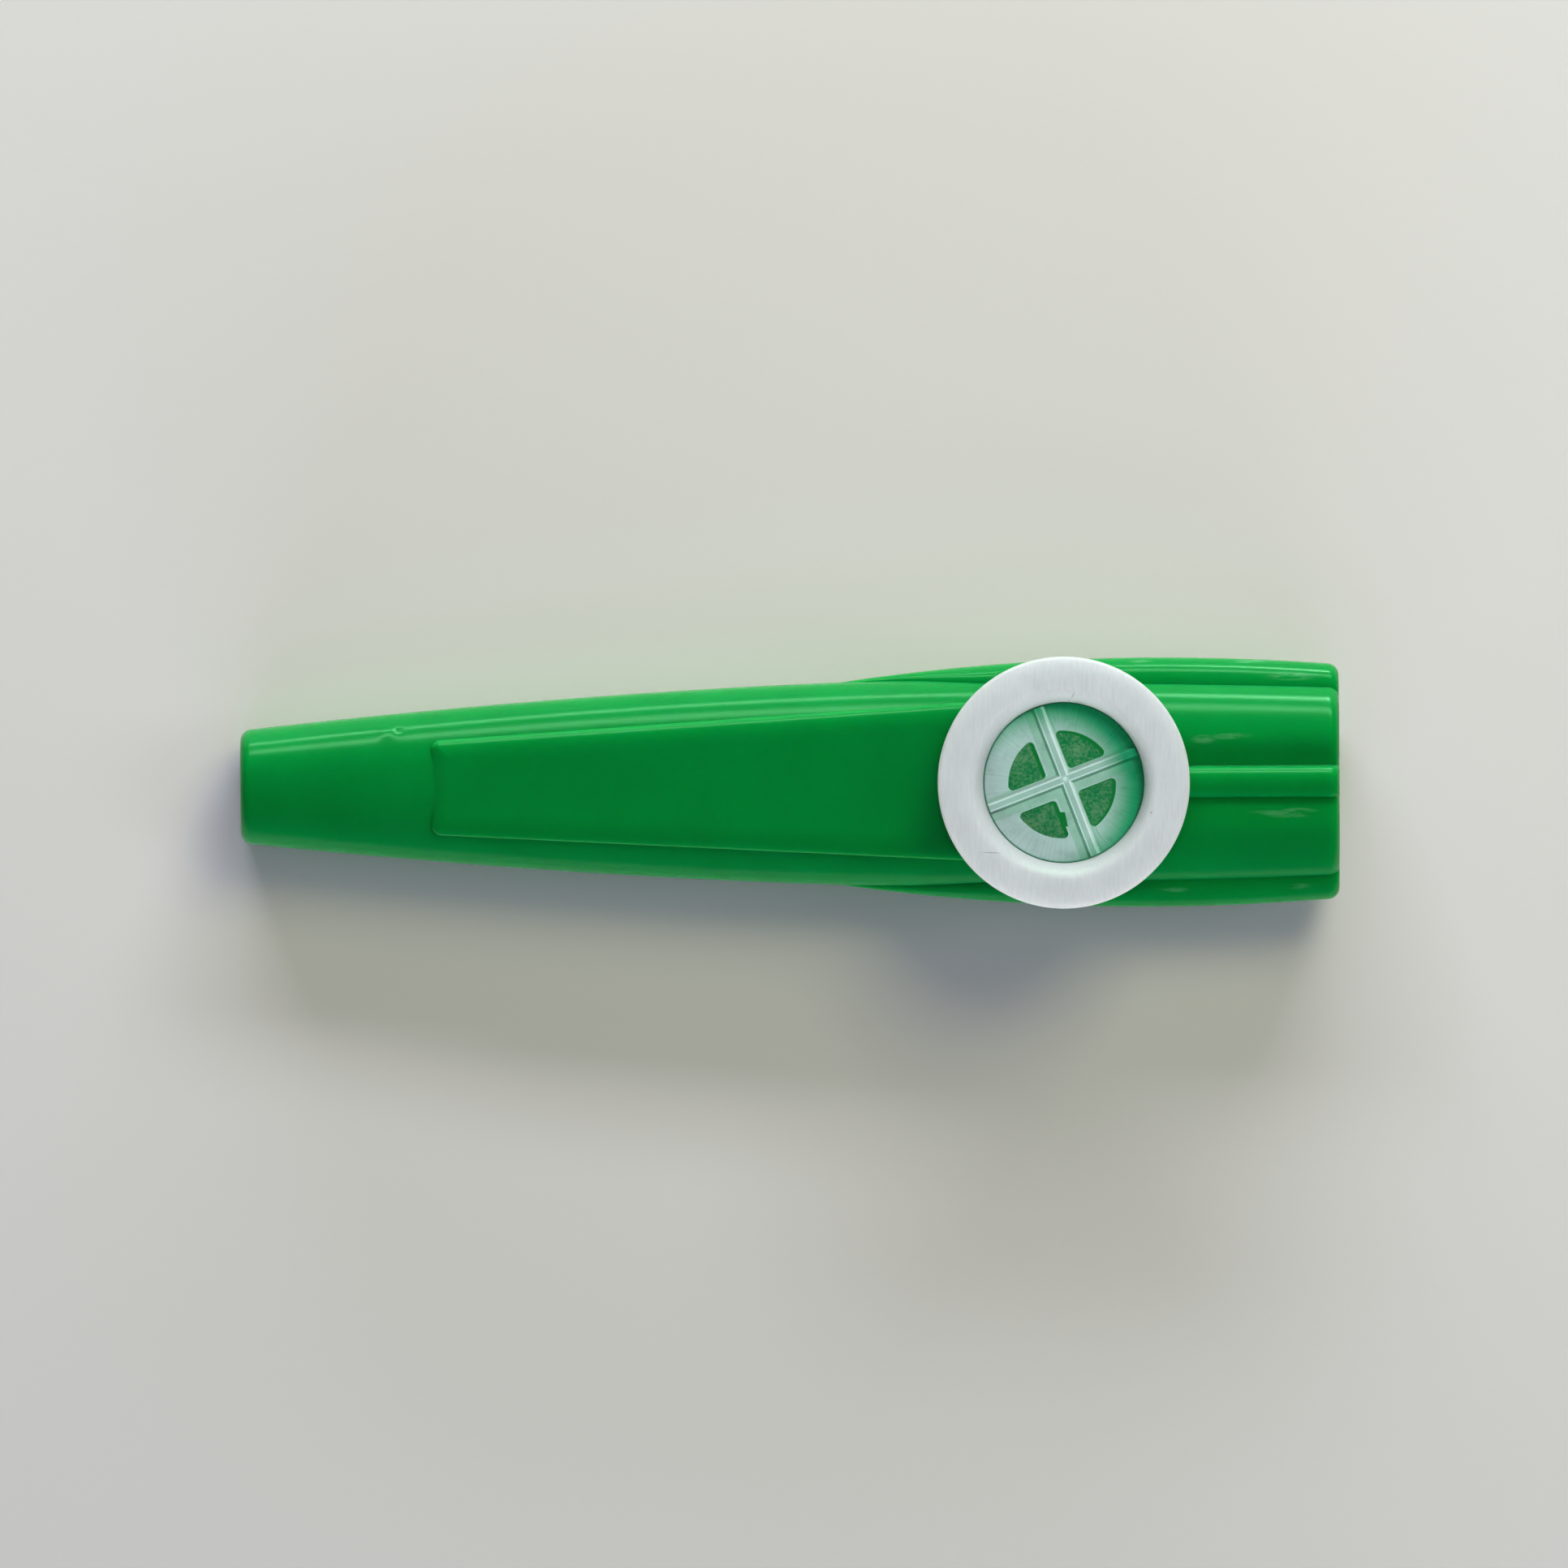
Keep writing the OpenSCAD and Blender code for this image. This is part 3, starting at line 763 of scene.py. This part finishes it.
def white_plastic():
    """Satin white plastic with fine rubbed lines, a scratch, a hair, a speck and a faint stain."""
    material, tree, shader = new_material("white_plastic")
    even = place(tree, (1, 1, 1))
    rubbed = place(tree, (1, 0.1, 1))
    rubbed.inputs["Rotation"].default_value = (0, 0, math.radians(-38))
    lines = noise(tree, rubbed, 4200, 3)
    cloud = noise(tree, even, 260, 3)
    tone = math_node(tree, "MULTIPLY_ADD", cloud, 0.4)
    tree.links.new(math_node(tree, "MULTIPLY", lines, 0.6), tone.node.inputs[2])
    clean = ramp(tree, tone, [(0.35, (0.615, 0.645, 0.665)), (0.65, (0.685, 0.715, 0.735))])
    stained = blend(tree, math_node(tree, "MULTIPLY", marks(tree, STAINS), 0.6), clean, (0.62, 0.45, 0.42))
    tree.links.new(blend(tree, math_node(tree, "MULTIPLY", marks(tree, HAIRLINES), 0.75), stained,
                         (0.24, 0.25, 0.25)), shader.inputs["Base Color"])
    tree.links.new(ramp(tree, lines, [(0.3, 0.38), (0.7, 0.55)]), shader.inputs["Roughness"])
    tree.links.new(bump(tree, lines, 0.00003, 0.5), shader.inputs["Normal"])
    shader.inputs["Subsurface Weight"].default_value = 1.0
    shader.inputs["Subsurface Radius"].default_value = (1.0, 1.0, 1.0)
    shader.inputs["Subsurface Scale"].default_value = 0.003
    return material


def bar_masks(tree, x, y, height):
    """Where the cross bars are on the guard, and where a painted highlight lies along their top edges and on the
    drop at their crossing.
    """
    top = GUARD_Z + GUARD_T
    shift = in_guard_turn(BAR_SHIFT)
    on_bar = step(tree, height, (top + 0.02) * MM, (top + 0.08) * MM)
    off_edge = math_node(tree, "SUBTRACT", off_cross(tree, x, y, shift), (BAR_TOP_W / 2 - 0.03) * MM)
    on_edge = inverse(tree, step(tree, math_node(tree, "ABSOLUTE", off_edge), 0.05 * MM, 0.14 * MM))
    at_crossing = inverse(tree, step(tree, distance(tree, x, y, shift), 0.1 * MM, 0.6 * MM))
    # Painted highlight: the top edges of the bars and their crossing, on the bars only
    pale = math_node(tree, "MULTIPLY", math_node(tree, "MAXIMUM", on_edge, at_crossing), on_bar)
    return on_bar, pale


def frosted_plastic():
    """Milky see-through plastic of the guard: its rim is scratched from the middle outward, its cross is greener,
    and its window walls are clear green. A painted highlight makes the top edges of the bars and their crossing
    palest, painted shade darkens a thin ring under the cap's lip, and a painted shadow of the cap turns one side of
    the disc dark clear green."""
    material, tree, shader = new_material("frosted_plastic")
    guard_place = place_about_turret(tree, RESONATOR_TURN)
    x, y, height = split(tree, guard_place.outputs[0])
    facing = tree.nodes.new("ShaderNodeNewGeometry")
    flat = step(tree, math_node(tree, "ABSOLUTE", split(tree, facing.outputs["True Normal"])[2]), 0.4, 0.8)
    on_bar, pale = bar_masks(tree, x, y, height)

    cloud = noise(tree, guard_place, 900, 4)
    streaked = math_node(tree, "MULTIPLY_ADD", around(tree, x, y, 34), 0.6)
    tree.links.new(math_node(tree, "MULTIPLY", cloud, 0.4), streaked.node.inputs[2])
    frosted = ramp(tree, streaked, [(0.35, (0.58, 0.74, 0.74)), (0.65, (0.71, 0.86, 0.87))])
    web = ramp(tree, cloud, [(0.3, (0.42, 0.66, 0.56)), (0.7, (0.5, 0.76, 0.66))])
    off_web = step(tree, off_cross(tree, x, y), (WEB_W / 2 - 0.05) * MM, (WEB_W / 2 + 0.05) * MM)
    colour = blend(tree, off_web, web, frosted)
    bar_top = math_node(tree, "MULTIPLY", on_bar, flat)
    colour = blend(tree, math_node(tree, "MULTIPLY", bar_top, 0.6), colour, (0.62, 0.82, 0.8))
    # Painted highlight on the bars' top edges and crossing, as a pale colour
    colour = blend(tree, pale, colour, (0.8, 0.97, 0.95))

    # Painted shadow of the cap: on one side of the disc the colour fades to a dark clear green
    clear = ramp(tree, streaked, [(0.35, (0.0, 0.34, 0.14)), (0.65, (0.01, 0.4, 0.18))])
    in_painted_shadow = step(tree, distance(tree, x, y, PAINTED_SHADOW_FROM), PAINTED_SHADOW_STEP[0] * MM, PAINTED_SHADOW_STEP[1] * MM)
    colour = blend(tree, in_painted_shadow, colour, clear)
    colour = blend(tree, math_node(tree, "MAXIMUM", flat, on_bar), (0.0, 0.36, 0.07), colour)
    # Painted shade: a thin dark green ring where the guard runs under the cap's lip
    painted_gap_shade = step(tree, distance(tree, x, y), (CAP_HOLE_R - 0.25) * MM, (CAP_HOLE_R - 0.05) * MM)
    tree.links.new(blend(tree, painted_gap_shade, colour, (0.02, 0.2, 0.1)), shader.inputs["Base Color"])

    lifted = tree.nodes.new("ShaderNodeVectorMath")
    lifted.inputs[1].default_value = (0, 0, 3)
    tree.links.new(facing.outputs["Normal"], lifted.inputs[0])
    level = tree.nodes.new("ShaderNodeVectorMath")
    level.operation = "NORMALIZE"
    tree.links.new(lifted.outputs[0], level.inputs[0])
    tree.links.new(level.outputs[0], shader.inputs["Normal"])
    tree.links.new(ramp(tree, cloud, [(0.3, 0.25), (0.7, 0.35)]), shader.inputs["Roughness"])
    bar_side = math_node(tree, "MULTIPLY", on_bar, inverse(tree, flat))
    tree.links.new(math_node(tree, "MAXIMUM", math_node(tree, "MAXIMUM", bar_side, pale), 0.75),
                   shader.inputs["Alpha"])
    return material


def film():
    """Mottled see-through film, green from the body below it, with pale patches, and a shade along the window edges
    that the light comes over."""
    material, tree, shader = new_material("film")
    even = place(tree, (1, 1, 1))
    mottle = math_node(tree, "MULTIPLY_ADD", noise(tree, even, 3400, 2, 0.6), 0.6)
    tree.links.new(math_node(tree, "MULTIPLY", noise(tree, even, 620, 2), 0.4), mottle.node.inputs[2])
    mottled = ramp(tree, mottle, [(0.4, (0.0, 0.19, 0.055)), (0.5, (0.035, 0.225, 0.085)),
                                  (0.62, (0.12, 0.29, 0.14))])

    x, y, _ = split(tree, place_about_turret(tree, RESONATOR_TURN).outputs[0])
    shift = in_guard_turn((WINDOW_SHIFT[0] - SHADE_SHIFT[0], WINDOW_SHIFT[1] - SHADE_SHIFT[1]))
    to_web = math_node(tree, "SUBTRACT", off_cross(tree, x, y, shift), WEB_W / 2 * MM)
    to_rim = math_node(tree, "SUBTRACT", WINDOW_R * MM, distance(tree, x, y, shift))
    lit = step(tree, math_node(tree, "MINIMUM", to_web, to_rim), -0.05 * MM, 0.15 * MM)
    tree.links.new(blend(tree, lit, (0.0, 0.2, 0.035), mottled), shader.inputs["Base Color"])
    shader.inputs["Roughness"].default_value = 0.4
    shader.inputs["Specular IOR Level"].default_value = 0.1
    return material


def floor_paint():
    material, tree, shader = new_material("floor_paint")
    shader.inputs["Base Color"].default_value = (0.61, 0.6, 0.67, 1)
    shader.inputs["Roughness"].default_value = 0.9
    shader.inputs["Specular IOR Level"].default_value = 0.0
    return material


def dress(obj, material, node, body):
    """Gives a piece its material, hides the CAD node that it stands for, and hangs it on its body."""
    obj.data.materials.clear()
    obj.data.materials.append(material)
    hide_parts(node)
    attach(obj, body)


def add_camera():
    """A camera straight above the object, framed as the photograph is."""
    data = bpy.data.cameras.new("camera")
    width = PHOTO_SIDE * MM_PER_PIXEL * MM
    data.sensor_width = 36
    data.lens = 36 * CAMERA_DISTANCE / width
    data.clip_end = 20
    camera = bpy.data.objects.new("camera", data)
    x = ((PHOTO_SIDE / 2 - NARROW_END_PIXEL) * MM_PER_PIXEL - BODY_L / 2) * MM
    camera.location = (x, 0, CAMERA_DISTANCE + FOCUS_HEIGHT)
    camera.rotation_euler = (0, 0, math.radians(CAMERA_ROLL))
    bpy.context.scene.collection.objects.link(camera)
    bpy.context.scene.camera = camera


def add_strip(name, azimuth, elevation, distance, size, watts, colour=(1, 1, 1)):
    """A rectangular lamp that faces the object. Azimuth is its own bearing from +X towards +Y, in degrees."""
    data = bpy.data.lights.new(name, "AREA")
    data.shape = "RECTANGLE"
    data.size, data.size_y = size
    data.energy = watts
    data.color = colour
    lamp = bpy.data.objects.new(name, data)
    a, e = math.radians(azimuth), math.radians(elevation)
    away = Vector((math.cos(a) * math.cos(e), math.sin(a) * math.cos(e), math.sin(e)))
    lamp.location = away * distance
    lamp.rotation_mode = "QUATERNION"
    lamp.rotation_quaternion = away.to_track_quat("Z", "Y")
    lamp.visible_camera = False
    bpy.context.scene.collection.objects.link(lamp)
    return lamp


# Watts of a lamp of level 1 at a distance of one metre
LEVEL = math.pi**2
# Name, bearing, elevation, distance, size, level, colour and what it lights: b is the body and the floor, c the
# cap and r the resonator
SOFT_LAMPS = (
    ("low_key", 88, 8, 0.8, (0.8, 0.1), 1.05, (0.88, 0.9, 1.0), "b"),
    ("mid_key", 88, 24, 0.8, (0.8, 0.12), 1.0, (0.98, 1.0, 0.94), "b"),
    ("high_key", 55, 50, 0.9, (0.4, 0.4), 0.4, (1.0, 1.0, 0.5), "b"),
    ("end_fill", 0, 40, 1.0, (0.4, 0.4), 0.14, (1.0, 1.0, 1.0), "b"),
    ("low_fill", 270, 8, 0.8, (0.8, 0.1), 1.04, (0.8, 0.82, 1.0), "b"),
    ("back_soft", 270, 40, 0.9, (0.8, 0.2), 0.06, (0.98, 1.0, 1.0), "b"),
    ("top_soft", 90, 90, 1.2, (3.0, 3.0), 0.17, (0.98, 1.0, 0.65), "b"),
    ("cap_low", 88, 5, 0.8, (0.8, 0.08), 0.25, (0.97, 1.0, 0.98), "c"),
    ("cap_mid", 88, 24, 0.8, (0.8, 0.12), 0.64, (0.97, 1.0, 0.98), "c"),
    ("cap_low_back", 262, 8, 0.8, (0.8, 0.1), 0.35, (1.0, 1.0, 1.0), "c"),
    ("cap_high", 52, 50, 0.9, (0.4, 0.4), 0.26, (1.0, 1.0, 0.98), "c"),
    ("cap_end", 0, 40, 1.0, (0.4, 0.4), 0.08, (1.0, 1.0, 1.0), "c"),
    ("cap_back", 265, 40, 0.9, (0.8, 0.2), 0.52, (0.98, 1.0, 1.0), "c"),
    ("cap_top", 90, 90, 1.2, (3.0, 3.0), 0.3, (0.98, 1.0, 1.0), "c"),
    ("hole_key", 47, 52, 0.9, (0.25, 0.25), 0.58, (1.0, 0.97, 1.0), "r"),
    ("hole_fill", 228, 40, 0.9, (0.3, 0.3), 0.3, (0.5, 1.0, 0.75), "r"),
    ("hole_glow", 90, 90, 1.2, (2.0, 2.0), 0.18, (0.5, 1.0, 0.75), "r"),
)
GLINT_LAMPS = (
    ("low_glint", 88, 12.5, 0.8, (0.8, 0.07), 0.62, (0.4, 1.0, 0.55), "bc"),
    ("end_glint", 79, 12.5, 0.8, (0.12, 0.08), 0.2, (0.4, 1.0, 0.6), "bc"),
    ("high_glint", 84, 35, 0.8, (0.8, 0.11), 0.62, (0.4, 1.0, 0.55), "bc"),
    ("hole_glint", 47, 50, 0.8, (0.3, 0.3), 1.6, (0.9, 1.0, 1.0), "r"),
    ("hole_low_glint", 88, 24, 0.8, (0.6, 0.2), 1.2, (0.9, 1.0, 1.0), "r"),
)


def add_lights(groups):
    """Plain soft light: long keys on the +Y side with soft fill, and long strips that only show as glints. Each
    letter in groups stands for the pieces that a lamp with that letter lights."""
    for name, azimuth, elevation, distance, size, level, colour, lit in SOFT_LAMPS + GLINT_LAMPS:
        lamp = add_strip(name, azimuth, elevation, distance, size, level * LEVEL * distance**2, colour)
        only_glints = name in [row[0] for row in GLINT_LAMPS]
        lamp.visible_diffuse = not only_glints
        lamp.visible_glossy = only_glints
        if len(lit) < len(groups):
            receivers = bpy.data.collections.new(name + "_receivers")
            for key in lit:
                for obj in groups[key]:
                    receivers.objects.link(obj)
            lamp.light_linking.receiver_collection = receivers
    world = bpy.data.worlds.new("world")
    world.use_nodes = True
    background = world.node_tree.nodes["Background"]
    background.inputs[0].default_value = (0.95, 1.0, 1.0, 1)
    background.inputs[1].default_value = 0.05
    bpy.context.scene.world = world


def add_floor():
    mesh = bpy.data.meshes.new("floor")
    side = 3.0
    mesh.from_pydata([(-side, -side, 0), (side, -side, 0), (side, side, 0), (-side, side, 0)], [], [[0, 1, 2, 3]])
    floor = bpy.data.objects.new("floor", mesh)
    bpy.context.scene.collection.objects.link(floor)
    floor.data.materials.append(floor_paint())
    return floor


body, cap, guard, membrane = build_body(), build_cap(), build_guard(), build_membrane()
guard.visible_shadow = False
dress(body, green_plastic(), "body", "kazoo_body")
dress(cap, white_plastic(), "turret_cap", "cap")
dress(guard, frosted_plastic(), "resonator_guard", "resonator")
dress(membrane, film(), "membrane", "resonator")

floor = add_floor()
add_lights({"b": (body, floor), "c": (cap,), "r": (guard, membrane)})
add_camera()
bpy.context.scene.view_settings.view_transform = "Standard"
